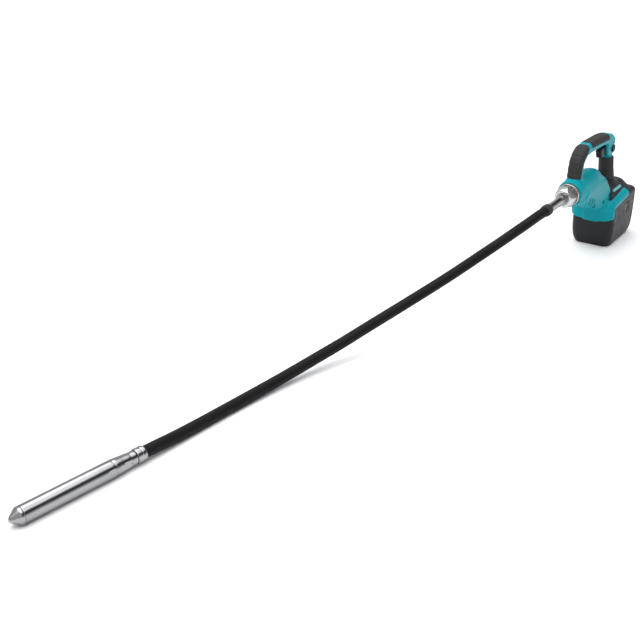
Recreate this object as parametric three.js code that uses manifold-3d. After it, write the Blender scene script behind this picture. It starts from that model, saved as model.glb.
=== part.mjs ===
// Cordless concrete vibrator: a battery motor unit with a loop handle, a flexible
// hose with its inner shaft, and a steel vibrating head.
// Millimetres. +X runs from the motor unit towards the hose, +Y is the operator's
// left, +Z is up. The origin is the middle of the battery case's underside.
import * as THREE from 'three';
import { mergeVertices } from 'three/addons/utils/BufferGeometryUtils.js';
import Module from 'manifold-3d';

const wasm = await Module();
wasm.setup();

// ---- driving dimensions ----------------------------------------------------
const GAP = 0.3; // running clearance between touching pieces
const SEAM = 0.15; // half of the gap along the housing's middle plane
const WALL = 2.8; // moulded wall

const CASE = { halfLength: 76, halfWidth: 49, top: 95, rise: 0.098, corner: 16, inset: 9, wall: 2.8 };
const DOOR_SEAM = -16; // where the battery cover meets the fixed case
const DOOR_TOP = 112;
const DECK = { thick: 17, lap: 8 }; // shell that lies on the case, and how far it stands out in front
const APRON = { bottom: 64, inset: 3 };
const FOOT = { halfX: 66, halfY: 38, corner: 16, x: 10, top: 144 };
const HINGE = { x: DOOR_SEAM, y: -53.5, pin: 2, knuckle: 4.2 };
const PACK = { x0: -55, x1: 60, y0: -38, y1: 34, z0: 12, z1: 75, corner: 7 };

const MOTOR = { z: 168, radius: 30, front: 236, rear: 84 };
const STATOR = { x0: 132, x1: 174, outer: 22.8, inner: 13.5 };
const ROTOR = { radius: 12.8, shaft: 4, x0: 102 };
const NOSE = { rim: 24, x1: 243 };
const NUT = { radius: 25, flat: 18.5, front: 272 };

const HANDLE = { halfWidth: 15, thick: 24, core: 2.6 };
const GRIP = { halfWidth: 15.5, halfThick: 18 };
const BUTTON = { x: 24, z: 219, radius: 8.5 };
const TRIGGER = { z0: 205, z1: 231, halfWidth: 7 };

const HOSE = { radius: 10.25, bore: 6, core: 4.5, sides: 10, steps: 44 };
const SLEEVE = { radius: 9.3 };

const HEAD = { radius: 14.6, bore: 11.3, coupling: 51, tube: 160, turn: Math.atan2(-0.155, 1) };

// Hose route from the motor unit to the head, at the tube's middle.
const ROUTE = [
  [350, 0, 168], [361, 0, 168], [382, -4.5, 164.6], [414, -13, 156.5], [481, -37, 134.5], [548, -61, 113.5],
  [613, -84, 94], [678, -107, 76.4], [743, -129, 60.4], [807, -149, 46.3], [871, -167, 33.7],
  [935, -184, 23.6], [1000, -198, 16.2], [1066, -210, 11.6], [1131, -218.6, 10.4], [1194, -225.5, 10.4],
  [1252, -231.4, 11.9], [1300, -236.5, 14.4], [1330, -241.1, 14.7],
].map(([x, y, z]) => new THREE.Vector3(x, y, z));

// ---- materials ---------------------------------------------------------------
const finish = (color, roughness, metalness) =>
  new THREE.MeshStandardMaterial({ color, roughness, metalness });
const TEAL = finish(0x009eaa, 0.38, 0);
const CHARCOAL = finish(0x3b3a3d, 0.6, 0);
const RUBBER = finish(0x2e2e30, 0.8, 0);
const BLACK = finish(0x1c1c1e, 0.5, 0);
const STEEL = finish(0xc9cccf, 0.22, 1);
const DARK_STEEL = finish(0x8b8e92, 0.4, 1);
const ALUMINIUM = finish(0xb9bcbd, 0.4, 1);
const COPPER = finish(0xb8733a, 0.4, 1);
const BRASS = finish(0xb5914a, 0.35, 1);
const BOARD = finish(0x2f6b3e, 0.6, 0);
const LABEL = finish(0x7fc4c6, 0.5, 0);

// ---- solids from three.js geometry ---------------------------------------------
function solid(geometry) {
  const bare = (geometry.index ? geometry : geometry.clone()).clone();
  bare.deleteAttribute('normal');
  bare.deleteAttribute('uv');
  const merged = mergeVertices(bare, 1e-4);
  const index = merged.index.array;
  const kept = [];
  for (let i = 0; i < index.length; i += 3) {
    const [a, b, c] = [index[i], index[i + 1], index[i + 2]];
    if (a !== b && b !== c && c !== a) kept.push(a, b, c);
  }
  return new wasm.Manifold(new wasm.Mesh({
    numProp: 3,
    vertProperties: new Float32Array(merged.attributes.position.array),
    triVerts: new Uint32Array(kept),
  }));
}

function geometryOf(manifold) {
  const mesh = manifold.getMesh();
  const geometry = new THREE.BufferGeometry();
  geometry.setAttribute('position', new THREE.BufferAttribute(mesh.vertProperties.slice(), 3));
  geometry.setIndex(new THREE.BufferAttribute(mesh.triVerts.slice(), 1));
  geometry.computeVertexNormals();
  return geometry;
}

const join = (...solids) => solids.reduce((sum, next) => sum.add(next));
const cut = (body, ...tools) => tools.reduce((rest, tool) => rest.subtract(tool), body);

function block(x0, x1, y0, y1, z0, z1) {
  const geometry = new THREE.BoxGeometry(x1 - x0, y1 - y0, z1 - z0);
  return solid(geometry.translate((x0 + x1) / 2, (y0 + y1) / 2, (z0 + z1) / 2));
}

// Round bar between two points.
function rod(from, to, radius, sides = 20) {
  const [a, b] = [new THREE.Vector3(...from), new THREE.Vector3(...to)];
  const geometry = new THREE.CylinderGeometry(radius, radius, a.distanceTo(b), sides);
  const along = b.clone().sub(a).normalize();
  geometry.applyQuaternion(new THREE.Quaternion().setFromUnitVectors(new THREE.Vector3(0, 1, 0), along));
  const middle = a.add(b).multiplyScalar(0.5);
  return solid(geometry.translate(middle.x, middle.y, middle.z));
}

// Turned solid about the X axis at height z: profile is a list of [x, radius].
function turned(profile, z = 0, sides = 28) {
  const points = profile.map(([x, radius]) => new THREE.Vector2(radius, x));
  const geometry = new THREE.LatheGeometry(points, sides);
  return solid(geometry.rotateZ(-Math.PI / 2).translate(0, 0, z));
}

// Washer or tube about the X axis.
const washer = (x0, x1, inner, outer, z = 0, sides = 24) =>
  turned([[x0, inner], [x0, outer], [x1, outer], [x1, inner], [x0, inner]], z, sides);

function roundedRect(halfX, halfY, radius, cx = 0, cy = 0) {
  const shape = new THREE.Shape();
  const [x, y] = [halfX - radius, halfY - radius];
  shape.absarc(cx + x, cy + y, radius, 0, Math.PI / 2);
  shape.absarc(cx - x, cy + y, radius, Math.PI / 2, Math.PI);
  shape.absarc(cx - x, cy - y, radius, Math.PI, Math.PI * 1.5);
  shape.absarc(cx + x, cy - y, radius, Math.PI * 1.5, Math.PI * 2);
  return shape;
}

function upright(shape, z0, z1, curveSegments = 5) {
  const geometry = new THREE.ExtrudeGeometry(shape, { depth: z1 - z0, bevelEnabled: false, curveSegments });
  return solid(geometry.translate(0, 0, z0));
}

// Side outline (x, z points) given a width along Y, with rounded long edges.
function sideSlab(points, halfWidth, edge = 0) {
  const shape = new THREE.Shape(points.map(([x, z]) => new THREE.Vector2(x, z)));
  const geometry = new THREE.ExtrudeGeometry(shape, {
    depth: 2 * (halfWidth - edge), bevelEnabled: edge > 0, bevelSize: edge,
    bevelThickness: edge, bevelOffset: -edge, bevelSegments: 2,
  });
  return solid(geometry.translate(0, 0, edge - halfWidth).rotateX(Math.PI / 2));
}

// Stack of rounded rectangles: levels is a list of [z, inset].
function tapered(halfX, halfY, corner, levels, cx = 0) {
  const rings = levels.map(([z, inset]) => {
    const shape = roundedRect(halfX - inset, halfY - inset, corner - inset / 2, cx);
    return shape.getPoints(4).slice(0, -1).map((p) => new THREE.Vector3(p.x, p.y, z));
  });
  return solid(loft(rings));
}

// Skin over rings of equal point count, closed at both ends.
function loft(rings) {
  const count = rings[0].length;
  const points = rings.flat();
  const triangles = [];
  for (let r = 0; r + 1 < rings.length; r += 1) {
    for (let i = 0; i < count; i += 1) {
      const [a, b] = [r * count + i, r * count + (i + 1) % count];
      triangles.push(a, b, a + count, b, b + count, a + count);
    }
  }
  for (const [ring, outward] of [[0, false], [rings.length - 1, true]]) {
    const centre = new THREE.Vector3();
    rings[ring].forEach((p) => centre.addScaledVector(p, 1 / count));
    points.push(centre);
    for (let i = 0; i < count; i += 1) {
      const [a, b] = [ring * count + i, ring * count + (i + 1) % count];
      triangles.push(points.length - 1, outward ? a : b, outward ? b : a);
    }
  }
  const geometry = new THREE.BufferGeometry();
  const places = points.flatMap((p) => [p.x, p.y, p.z]);
  geometry.setAttribute('position', new THREE.Float32BufferAttribute(places, 3));
  geometry.setIndex(triangles);
  return geometry;
}

// Section swept along a curve.
function swept(curve, shape, steps, curveSegments = 3) {
  return solid(new THREE.ExtrudeGeometry(shape, { steps, extrudePath: curve, curveSegments }));
}

const curveThrough = (points) => new THREE.CatmullRomCurve3(points.map((p) => new THREE.Vector3(...p)));

function circle(radius) {
  const shape = new THREE.Shape();
  shape.absarc(0, 0, radius, 0, Math.PI * 2);
  return shape;
}

const group = new THREE.Group();
group.name = 'concrete_vibrator';

function node(name, body, material, parent = group) {
  const mesh = new THREE.Mesh(body.isBufferGeometry ? body : geometryOf(body), material);
  mesh.name = name;
  parent.add(mesh);
  return mesh;
}

const leftHalf = block(-200, 400, SEAM, 200, -50, 400);
const rightHalf = block(-200, 400, -200, -SEAM, -50, 400);

// ---- motor housing and loop handle ------------------------------------------------
// Middle lines of the handle: the front leg with the top bar, and the rear grip.
const loopLine = curveThrough([
  [213, 0, 186], [211, 0, 210], [205, 0, 233], [190, 0, 246.5], [166, 0, 251],
  [120, 0, 250.5], [74, 0, 248.5], [34, 0, 242], [16, 0, 231],
]);
const gripLine = curveThrough([[27, 0, 237], [27, 0, 208], [21, 0, 180], [15, 0, 154], [13, 0, 116]]);

function loopSolid(shrink) {
  const shape = roundedRect(HANDLE.halfWidth - shrink, HANDLE.thick / 2 - shrink, 9 - shrink / 2);
  return swept(loopLine, shape, 14, 2);
}

function gripSolid(shrink) {
  const shape = new THREE.Shape();
  shape.absellipse(0, 0, GRIP.halfWidth - shrink, GRIP.halfThick - shrink, 0, Math.PI * 2);
  return swept(gripLine, shape, 5, 7);
}

function motorBody(shrink, front) {
  const r = MOTOR.radius - shrink;
  return turned([
    [MOTOR.rear + shrink, 0], [MOTOR.rear + 2 + shrink, r * 0.36], [MOTOR.rear + 10 + shrink, r * 0.64],
    [MOTOR.rear + 24, r * 0.84], [MOTOR.rear + 44, r * 0.96], [MOTOR.rear + 66, r], [214, r],
    [228, r * 0.93], [front, r * 0.91], [front, 0],
  ], MOTOR.z);
}

const neckOutline = (s) => [
  [46 + s, 104], [84 - s, 96 + s], [128 - s, 106 + s], [196 - s, 136 + s], [214 - s, 157 + s],
  [200 - s, 172 - s], [92 + s, 172 - s], [58 + s, 140],
];

// Height of the case's rim, which rises towards the back.
const rimAt = (x) => CASE.top + (CASE.halfLength - x) * CASE.rise;
const belowRim = (lift) => sideSlab(
  [[-200, -20], [200, -20], [200, rimAt(200) + lift], [-200, rimAt(-200) + lift]], 90,
);

function deckSolid(shrink) {
  const top = rimAt(DOOR_SEAM) + DECK.thick - shrink;
  const steps = [[CASE.top - 20, 0], [top - 12, 2], [top - 5, 6], [top, 13]];
  const levels = steps.map(([z, inset]) => [z, inset + shrink]);
  const whole = tapered(CASE.halfLength + DECK.lap, CASE.halfWidth + 1.5, CASE.corner + 2, levels, 4);
  const slope = belowRim(DECK.thick - 1).subtract(belowRim(GAP));
  return whole.intersect(block(DOOR_SEAM + 1 + shrink, 200, -80, 80, 60, 140)).intersect(slope);
}

// Apron that laps over the top of the battery case at the front.
function apronSolid() {
  const levels = [[APRON.bottom, APRON.inset], [76, 1], [CASE.top + 5, 0]];
  const outer = tapered(CASE.halfLength + DECK.lap, CASE.halfWidth + 1.5, CASE.corner + 2, levels, 4);
  const inner = upright(roundedRect(CASE.halfLength + GAP, CASE.halfWidth + GAP, CASE.corner), 40, 120)
    .intersect(belowRim(GAP));
  const front = sideSlab([[62, 40], [120, 40], [120, 110], [70, 110], [66, 84]], 90);
  return outer.subtract(inner).intersect(front);
}

const housingOuter = join(
  motorBody(0, MOTOR.front), sideSlab(neckOutline(0), 31, 8), deckSolid(0), apronSolid(),
  loopSolid(0), sideSlab([[42, 238], [58, 238], [52, 210], [32, 200], [14, 208], [12, 234]], 13, 3),
  gripSolid(HANDLE.core),
);
const housingInner = join(
  motorBody(WALL, MOTOR.front + 2), sideSlab(neckOutline(WALL), 27),
  block(DOOR_SEAM + 8, 70, -36, 36, CASE.top - 2, CASE.top + 16),
  loopSolid(WALL + HANDLE.core), gripSolid(WALL + HANDLE.core),
);

// Regions of the handle that carry a soft cover; g pulls their edges in.
const frontRegion = (g) => sideSlab(
  [
    [214 + g, 199 + g], [209 + g, 231 + g], [188 + g, 245 + g], [172 + g, 268], [196, 280],
    [245, 280], [245, 199 + g],
  ], 40,
);
const topRegion = (g) => sideSlab([[58 + g, 247 + g], [58 + g, 280], [160 - g, 280], [164 - g, 254 + g]], 40);

const loopCore = loopSolid(HANDLE.core + GAP);
const skinOff = (region) => region.subtract(loopCore);

// Screw bosses tie the two halves; each screw runs along Y from the left half.
const SCREW = { spots: [[152, 122.5], [98, 117], [66, 124]], shank: 1.9, head: 3.4, seat: 16, tip: -12 };
const bosses = SCREW.spots.map(([x, z]) => rod([x, -30, z], [x, 30, z], 5, 12));
const screwHoles = SCREW.spots.map(([x, z]) => join(
  rod([x, SCREW.tip - 2, z], [x, 60, z], SCREW.shank + GAP, 12),
  rod([x, SCREW.seat - GAP, z], [x, 60, z], SCREW.head + GAP, 12),
));

const triggerBay = block(
  20, 96, -TRIGGER.halfWidth - GAP, TRIGGER.halfWidth + GAP, TRIGGER.z0 - 1, TRIGGER.z1 + 1,
);
const buttonBore = rod([BUTTON.x, 4, BUTTON.z], [BUTTON.x, 30, BUTTON.z], BUTTON.radius + GAP);
const noseOpening = turned(
  [[MOTOR.front - 14, 0], [MOTOR.front - 14, NOSE.rim + GAP], [300, NOSE.rim + GAP], [300, 0]], MOTOR.z,
);
const bossWeb = join(...bosses).intersect(sideSlab(neckOutline(1), 29)).subtract(motorBody(1, MOTOR.front));

const housing = cut(
  join(housingOuter.subtract(housingInner), bossWeb),
  noseOpening, triggerBay, buttonBore, skinOff(frontRegion(0)), skinOff(topRegion(0)), ...screwHoles,
);
node('housing_left', housing.intersect(leftHalf), TEAL);
node('housing_right', housing.intersect(rightHalf), TEAL);
SCREW.spots.forEach(([x, z], i) => node(`housing_screw_${i + 1}`, join(
  rod([x, SCREW.tip, z], [x, SCREW.seat + 0.5, z], SCREW.shank, 12),
  rod([x, SCREW.seat, z], [x, SCREW.seat + 3, z], SCREW.head, 12),
), DARK_STEEL));

const coverOf = (region) => loopSolid(0).intersect(region).subtract(loopSolid(HANDLE.core));
node('front_grip_cover', coverOf(frontRegion(GAP)), RUBBER);
node('top_grip_cover', coverOf(topRegion(GAP)), RUBBER);
node('rear_grip_cover', cut(
  gripSolid(0).intersect(block(-40, 70, -40, 40, FOOT.top + 2, 199)), gripSolid(HANDLE.core - GAP),
), RUBBER);
// Foot that spreads the grip's load over the back of the deck and the cover.
const footSlope = [[120, 2], [130, 11]];
const footLevels = [[100, 0], [112, 0], ...footSlope, [138, 16], [FOOT.top, 19]];
const behindDeck = block(-200, DOOR_SEAM + 1 - GAP, -60, 60, 90, DOOR_TOP + GAP);
const overDeck = block(DOOR_SEAM, 200, -60, 60, 90, 160).intersect(belowRim(DECK.thick - 1 + GAP));
node('grip_foot', cut(
  tapered(FOOT.halfX, FOOT.halfY, FOOT.corner, footLevels, FOOT.x),
  gripSolid(-GAP), behindDeck, overDeck, deckSolid(-GAP), motorBody(-GAP, MOTOR.front),
  sideSlab(neckOutline(-GAP), 31.3, 8),
), CHARCOAL);

// ---- battery case, cover and pack ---------------------------------------------------
const caseLevels = (s) => [[s, CASE.inset + s], [5 + s, 6 + s], [16, 3.5 + s], [30, 1.2 + s], [42, s]];
const caseShell = (s, top) => tapered(
  CASE.halfLength, CASE.halfWidth, CASE.corner,
  [...caseLevels(s), [top - 10, s], [top - 4, 3 + s], [top, 10 + s]],
);
const caseTop = rimAt(-CASE.halfLength) + 12;
const behindSeam = block(-200, DOOR_SEAM - GAP, -80, 80, -10, 140);
const aheadOfSeam = block(DOOR_SEAM, 200, -80, 80, -10, 140);
const LATCH = { x0: -27, x1: 0.8, z0: 69, z1: 87, depth: 3.2, pinX: -1, pin: 0.9 };
const latchY = CASE.halfWidth - LATCH.depth;
const latchPinY = latchY + 1.5;
const latchPocket = block(LATCH.x0 - GAP, LATCH.x1 + GAP, latchY - GAP, 60, LATCH.z0 - GAP, LATCH.z1 + GAP);
const latchPad = (x0, x1) => block(x0, x1, latchY - 3, CASE.halfWidth - 0.5, LATCH.z0 - 3, LATCH.z1 + 3);

// Hinge knuckle i with the web that ties it to the piece on that side of the seam.
const KNUCKLE = { z0: 30, step: 14 };
const knuckleAt = (i) => KNUCKLE.z0 + i * KNUCKLE.step;
const knuckle = (i, side) => {
  const [z0, z1] = [knuckleAt(i), knuckleAt(i + 1) - GAP];
  const webEnds = [HINGE.x + side * 0.6, HINGE.x + side * 9].sort((a, b) => a - b);
  return join(
    rod([HINGE.x, HINGE.y, z0], [HINGE.x, HINGE.y, z1], HINGE.knuckle, 16),
    block(...webEnds, HINGE.y - 2, -CASE.halfWidth + 1.5, z0, z1),
  );
};
const hingeHole = rod([HINGE.x, HINGE.y, -5], [HINGE.x, HINGE.y, 120], HINGE.pin + GAP, 16);
const caseKnuckles = [knuckle(0, 1), knuckle(2, 1)];
const knuckleRoom = (i) => rod(
  [HINGE.x, HINGE.y, knuckleAt(i) - GAP], [HINGE.x, HINGE.y, knuckleAt(i + 1)], HINGE.knuckle + GAP, 16,
);
const allKnuckleRoom = join(knuckleRoom(0), knuckleRoom(1), knuckleRoom(2));

node('battery_case', cut(
  join(
    cut(
      caseShell(0, caseTop).intersect(aheadOfSeam).intersect(belowRim(0)).subtract(allKnuckleRoom),
      caseShell(CASE.wall, CASE.top - CASE.wall),
    ),
    latchPad(DOOR_SEAM + 0.5, LATCH.x1 + 4), ...caseKnuckles,
  ),
  latchPocket, hingeHole,
  rod([LATCH.pinX, latchPinY, LATCH.z0 - 3.5], [LATCH.pinX, latchPinY, LATCH.z1 + 3.5], LATCH.pin + GAP, 12),
), CHARCOAL);
node('cover_hinge_pin', rod(
  [HINGE.x, HINGE.y, knuckleAt(0) - 1], [HINGE.x, HINGE.y, knuckleAt(3) + 1], HINGE.pin, 16,
), STEEL);

node('battery_pack', upright(roundedRect(
  (PACK.x1 - PACK.x0) / 2, (PACK.y1 - PACK.y0) / 2, PACK.corner,
  (PACK.x0 + PACK.x1) / 2, (PACK.y0 + PACK.y1) / 2,
), PACK.z0, PACK.z1), BLACK);
node('pack_rail', join(
  block(-30, 58, PACK.y0 + 8, PACK.y1 - 8, PACK.z1 + GAP, PACK.z1 + 9),
  block(-30, 58, PACK.y0 + 3, PACK.y1 - 3, PACK.z1 + 9, PACK.z1 + 13),
), BLACK);
node('terminal_block', block(20, 56, -16, 12, PACK.z1 + 13 + GAP, CASE.top - CASE.wall - GAP), BRASS);
node('pack_cradle', cut(
  block(PACK.x0 + 6, PACK.x1 - 2, PACK.y0 + 6, PACK.y1 - 6, CASE.wall + GAP, PACK.z0 - GAP),
  block(PACK.x0 + 14, PACK.x1 - 10, PACK.y0 + 14, PACK.y1 - 14, 0, 30),
), BLACK);

node('battery_cover', cut(
  join(
    cut(
      caseShell(0, DOOR_TOP).intersect(behindSeam).subtract(allKnuckleRoom),
      caseShell(CASE.wall, DOOR_TOP - CASE.wall),
    ),
    latchPad(LATCH.x0 - 3, DOOR_SEAM - GAP), knuckle(1, -1),
  ),
  latchPocket, hingeHole,
), CHARCOAL);
node('cover_latch', cut(
  join(
    block(LATCH.x0, LATCH.pinX, latchPinY - 1.5, latchPinY + 1.5, LATCH.z0, LATCH.z1),
    rod([LATCH.pinX, latchPinY, LATCH.z0], [LATCH.pinX, latchPinY, LATCH.z1], 1.5, 16),
  ),
  rod([LATCH.pinX, latchPinY, 60], [LATCH.pinX, latchPinY, 110], LATCH.pin + 0.15, 12),
), BLACK);
node('latch_pin', rod([LATCH.pinX, latchPinY, LATCH.z0 - 3], [LATCH.pinX, latchPinY, LATCH.z1 + 3],
  LATCH.pin - 0.2, 10), STEEL);

// ---- trigger, lock button and electronics -------------------------------------------
const triggerOutline = [[50, 229], [77, 229], [83, 223], [78, 216], [75, 207], [50, 207]];
node('trigger', cut(
  join(sideSlab(triggerOutline, TRIGGER.halfWidth - 0.2), block(42, 52, -3, 3, 217, 225)),
  rod([40, 0, 212], [64, 0, 212], 3.3, 12),
), BLACK);
const springLine = (x0, x1, y, z, radius, turns) => new THREE.CatmullRomCurve3(
  Array.from({ length: turns * 6 + 1 }, (_, i) => new THREE.Vector3(
    x0 + (x1 - x0) * i / (turns * 6),
    y + radius * Math.cos(i * Math.PI / 3), z + radius * Math.sin(i * Math.PI / 3),
  )),
);
node('trigger_spring', swept(springLine(37, 49, 0, 212, 2.1, 4), circle(0.5), 24, 2), STEEL);
node('trigger_switch', block(22, 34, -5, 5, 205, 215), BLACK);
node('lock_button', join(
  rod([BUTTON.x, 9, BUTTON.z], [BUTTON.x, HANDLE.halfWidth + 1.5, BUTTON.z], BUTTON.radius),
  rod([BUTTON.x, 3, BUTTON.z], [BUTTON.x, 9.1, BUTTON.z], 3, 16),
), BLACK);
node('controller_board', block(76, 112, -22, -19.5, 123, 138), BOARD);
const [[z0, inset0], [z1, inset1]] = footSlope;
const lean = Math.atan2(inset1 - inset0, z1 - z0);
const plate = new THREE.BoxGeometry(48, 0.8, 6).translate(0, 0.4 + GAP, 1.4).rotateX(lean);
plate.translate(FOOT.x + 8, FOOT.halfY - (inset0 + inset1) / 2, (z0 + z1) / 2);
node('label_plate', solid(plate), LABEL);

// ---- motor -----------------------------------------------------------------------------
node('motor_stator', washer(STATOR.x0, STATOR.x1, STATOR.inner, STATOR.outer, MOTOR.z), COPPER);
node('motor_can', washer(STATOR.x0 - 2, STATOR.x1 + 8, STATOR.outer + GAP, 25.6, MOTOR.z), DARK_STEEL);
node('motor_rotor', turned([
  [ROTOR.x0, 0], [ROTOR.x0, ROTOR.shaft], [STATOR.x0 + 2, ROTOR.shaft], [STATOR.x0 + 2, ROTOR.radius],
  [STATOR.x1 - 2, ROTOR.radius], [STATOR.x1 - 2, ROTOR.shaft], [244, ROTOR.shaft], [244, 6], [276, 6],
  [276, 4.1], [262, 4.1], [262, 0],
], MOTOR.z, 24), STEEL);
const fanBlades = Array.from({ length: 9 }, (_, i) => i * Math.PI * 2 / 9).map((turn) => {
  const blade = new THREE.BoxGeometry(11, 1.6, 17);
  blade.translate(0, 0, 16).rotateX(turn).translate(196, 0, MOTOR.z);
  return solid(blade);
});
node('cooling_fan', cut(
  join(washer(190, 202, 4.2, 9, MOTOR.z, 24), washer(189, 191, 4.2, 25, MOTOR.z), ...fanBlades),
  rod([150, 0, MOTOR.z], [220, 0, MOTOR.z], ROTOR.shaft + 0.2),
), BLACK);
node('rear_motor_bearing', washer(110, 117, ROTOR.shaft + GAP, 9.5, MOTOR.z), STEEL);
node('rear_bearing_holder', washer(108, 119, 9.8, 22, MOTOR.z), CHARCOAL);
node('front_motor_bearing', washer(228, 236, ROTOR.shaft + GAP, 11.6, MOTOR.z, 24), STEEL);

// ---- nose, coupling nut and sleeve ---------------------------------------------------------
node('nose_flange', turned([
  [225, 11.9], [225, NOSE.rim], [NOSE.x1, NOSE.rim], [NOSE.x1, NOSE.rim - 2], [239, NOSE.rim - 3],
  [239, 16], [242, 15], [242, 7], [237, 7], [237, 11.9], [225, 11.9],
], MOTOR.z, 32), ALUMINIUM);
const nutFlats = [1, -1].map((side) => {
  const tool = new THREE.BoxGeometry(20, 20, 60);
  tool.translate(258, side * (NUT.flat + 10), 0).rotateX(0.7).translate(0, 0, MOTOR.z);
  return solid(tool);
});
node('coupling_nut', cut(turned([
  [243.3, 12.3], [243.3, 14.5], [248, 15], [248, NUT.radius - 1], [255, NUT.radius - 1], [268, 20],
  [NUT.front, 18.5], [NUT.front, 12.6], [NUT.front - 2, 12.6], [NUT.front - 2, SLEEVE.radius + GAP],
  [NUT.front - 4, SLEEVE.radius + GAP], [NUT.front - 4, 12.3], [243.3, 12.3],
], MOTOR.z, 32), ...nutFlats), STEEL);
node('hose_sleeve', turned([
  [262, 6.6], [262, 11.9], [NUT.front - 4.4, 11.9], [NUT.front - 4.4, SLEEVE.radius], [349.4, SLEEVE.radius],
  [349.4, 4.9], [355, 4.9], [355, 4.4], [348, 4.4], [346, 6.6], [262, 6.6],
], MOTOR.z, 24), STEEL);

// ---- hose and its inner shaft ----------------------------------------------------------------
const hoseEnd = ROUTE[ROUTE.length - 1];
const hoseLine = new THREE.CatmullRomCurve3(ROUTE, false, 'centripetal');
const hoseSection = new THREE.Shape();
hoseSection.absarc(0, 0, HOSE.radius, 0, Math.PI * 2);
const hoseBore = new THREE.Path();
hoseBore.absarc(0, 0, HOSE.bore, 0, Math.PI * 2, true);
hoseSection.holes.push(hoseBore);
node('hose', swept(hoseLine, hoseSection, HOSE.steps, HOSE.sides / 2), RUBBER);
const headPoint = (x) => new THREE.Vector3(Math.cos(HEAD.turn) * x, Math.sin(HEAD.turn) * x, 0).add(hoseEnd);
const shaftLine = new THREE.CatmullRomCurve3([
  new THREE.Vector3(277, 0, MOTOR.z), new THREE.Vector3(310, 0, MOTOR.z),
  ...ROUTE, headPoint(30), headPoint(53),
], false, 'centripetal');
node('flexible_shaft', swept(shaftLine, circle(HOSE.core - 0.6), HOSE.steps, 4), DARK_STEEL);

// ---- vibrating head, drawn along its own X axis from the end of the hose --------------------------
const head = new THREE.Group();
head.position.copy(hoseEnd);
head.rotation.z = HEAD.turn;
group.add(head);
const tubeStart = HEAD.coupling;
const tubeEnd = tubeStart + HEAD.tube;
node('hose_ferrule', washer(-9, 7, HOSE.radius + 0.6, 12.8, 0, 32), STEEL, head);
const flatCutter = (x0, x1, reach) => [1, -1].map((side) => block(
  x0, x1, side > 0 ? reach : -30, side > 0 ? 30 : -reach, -30, 30,
));
node('head_coupling', cut(turned([
  [0.5, 5.2], [0.5, 9.6], [7.4, 9.6], [7.4, 12.2], [18, 12.2], [38, 13.6], [tubeStart - GAP, HEAD.radius],
  [tubeStart - GAP, 11], [tubeStart + 12, 11], [tubeStart + 12, 5.2], [0.5, 5.2],
], 0, 28), ...flatCutter(21, 33, 11.4)), STEEL, head);
node('head_tube', cut(turned([
  [tubeStart, HEAD.bore], [tubeStart, HEAD.radius], [tubeEnd, HEAD.radius], [tubeEnd, HEAD.bore],
  [tubeStart, HEAD.bore],
], 0, 28), ...flatCutter(tubeStart + 1, tubeStart + 9, 13.2)), STEEL, head);
node('head_tip', turned([
  [tubeEnd - 14, 0], [tubeEnd - 14, 11], [tubeEnd + GAP, 11], [tubeEnd + GAP, HEAD.radius],
  [tubeEnd + 4, HEAD.radius], [tubeEnd + 16, 5.5], [tubeEnd + 19, 2.5], [tubeEnd + 20, 0],
], 0, 28), STEEL, head);
node('head_seal', washer(tubeStart + 12.4, tubeStart + 17, 4.6, 11, 0, 24), RUBBER, head);
node('rear_head_bearing', washer(tubeStart + 18, tubeStart + 27, 4.3, 11, 0, 24), STEEL, head);
node('front_head_bearing', washer(tubeEnd - 26, tubeEnd - 16, 4.3, 11, 0, 24), STEEL, head);
const massBlock = rod([tubeStart + 32, 0, 0], [tubeEnd - 30, 0, 0], 10.4, 24)
  .intersect(block(0, 400, -20, 20, -20, -1));
node('eccentric_rotor', join(
  rod([tubeStart + 6, 0, 0], [tubeEnd - 15, 0, 0], 4, 20), massBlock,
), DARK_STEEL, head);

export default group;
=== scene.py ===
"""Looks of a cordless concrete vibrator: motor unit, rubber hose and steel head.

Lengths in this script are millimetres in the frame of the CAD model, and MM turns
them into Blender's metres. Moulded pieces are the skins of distance fields, turned
pieces are lathed profiles, and the hose is a tube along its route.
"""
import math

import bmesh
import bpy
import numpy as np
from mathutils import Matrix, Vector


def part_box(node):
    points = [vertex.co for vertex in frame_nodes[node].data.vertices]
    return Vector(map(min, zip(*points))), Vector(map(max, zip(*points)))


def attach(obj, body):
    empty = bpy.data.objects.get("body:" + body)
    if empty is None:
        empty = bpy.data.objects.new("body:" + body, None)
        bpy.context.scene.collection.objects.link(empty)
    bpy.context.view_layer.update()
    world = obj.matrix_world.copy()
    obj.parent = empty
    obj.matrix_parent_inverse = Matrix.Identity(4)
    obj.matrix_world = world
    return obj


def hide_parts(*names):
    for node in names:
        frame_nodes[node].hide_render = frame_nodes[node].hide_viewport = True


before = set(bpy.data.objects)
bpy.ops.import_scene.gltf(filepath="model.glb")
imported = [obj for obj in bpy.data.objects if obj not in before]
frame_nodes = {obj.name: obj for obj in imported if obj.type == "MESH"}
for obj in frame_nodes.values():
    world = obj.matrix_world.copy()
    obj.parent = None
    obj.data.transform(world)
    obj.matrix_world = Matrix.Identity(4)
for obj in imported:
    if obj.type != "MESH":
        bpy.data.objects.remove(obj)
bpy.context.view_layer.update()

MM = 0.001
GAP = 0.3


def box_mm(node):
    """Lowest and highest corner of a CAD node, in millimetres."""
    low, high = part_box(node)
    return np.array(low) / MM, np.array(high) / MM


# ---- camera ------------------------------------------------------------------------------
LENS = 61.9
PITCH = math.radians(25.5)
TURN = math.radians(33.6)
CAMERA_AT = Vector((2.3724, 0.7874, 0.9306))

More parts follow.
